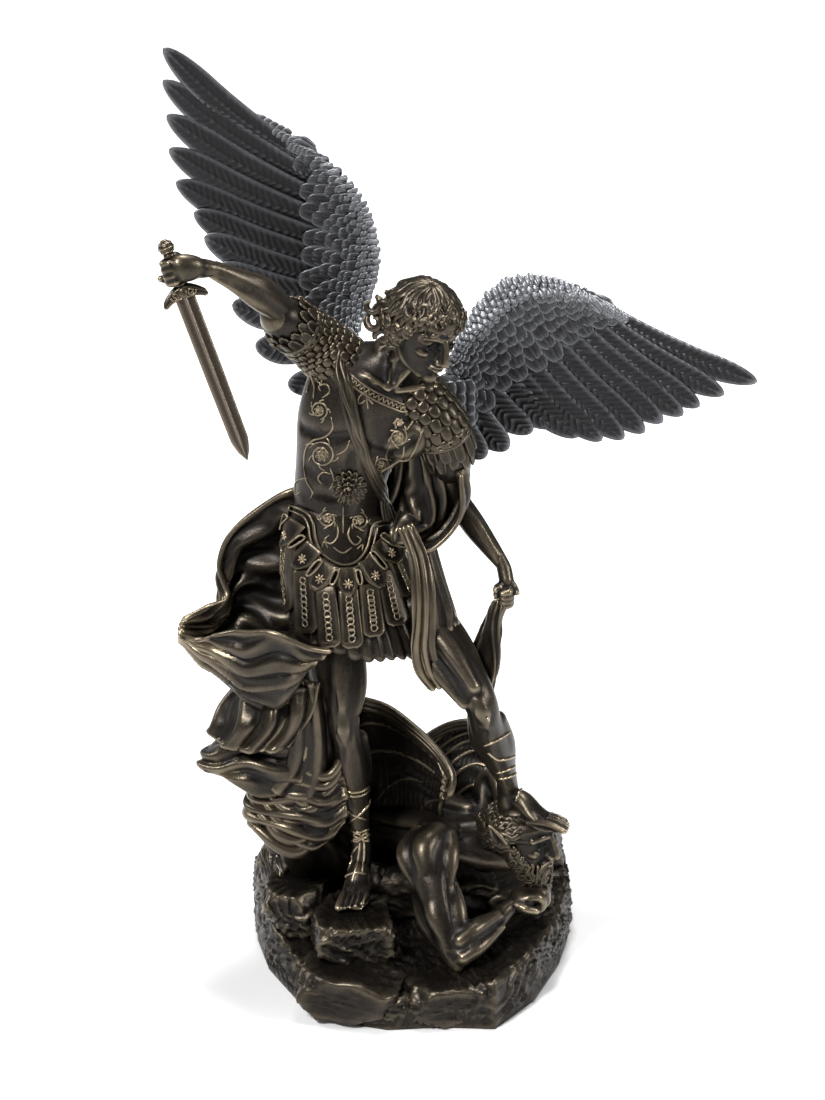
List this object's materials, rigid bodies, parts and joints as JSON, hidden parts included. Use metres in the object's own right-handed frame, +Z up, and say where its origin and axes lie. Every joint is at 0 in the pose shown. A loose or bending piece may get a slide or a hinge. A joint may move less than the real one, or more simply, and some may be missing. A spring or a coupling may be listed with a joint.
{
  "type": "archangel michael statue",
  "caption": "Tabletop bronze-finish statue of a winged archangel in Roman armour, sword raised, one foot on a fallen demon on a rocky base.",
  "frame": {"origin": "middle of the base on its flat underside", "axes": "+Z up, -Y towards the viewer the figure faces, +X towards the figure's left hand"},
  "size_m": [0.3397, 0.2231, 0.571],
  "materials": {
    "dark_bronze": "very dark brown patina over cold-cast bronze, raised edges rubbed back to dull gold",
    "wing_bronze": "blue-grey patina, feather edges rubbed silvery",
    "blade_metal": "plain brushed bronze"
  },
  "bodies": {
    "root": {"statue_group": "dark_bronze", "right_wing": "wing_bronze", "left_wing": "wing_bronze", "sword": "blade_metal"}
  },
  "joints": []
}
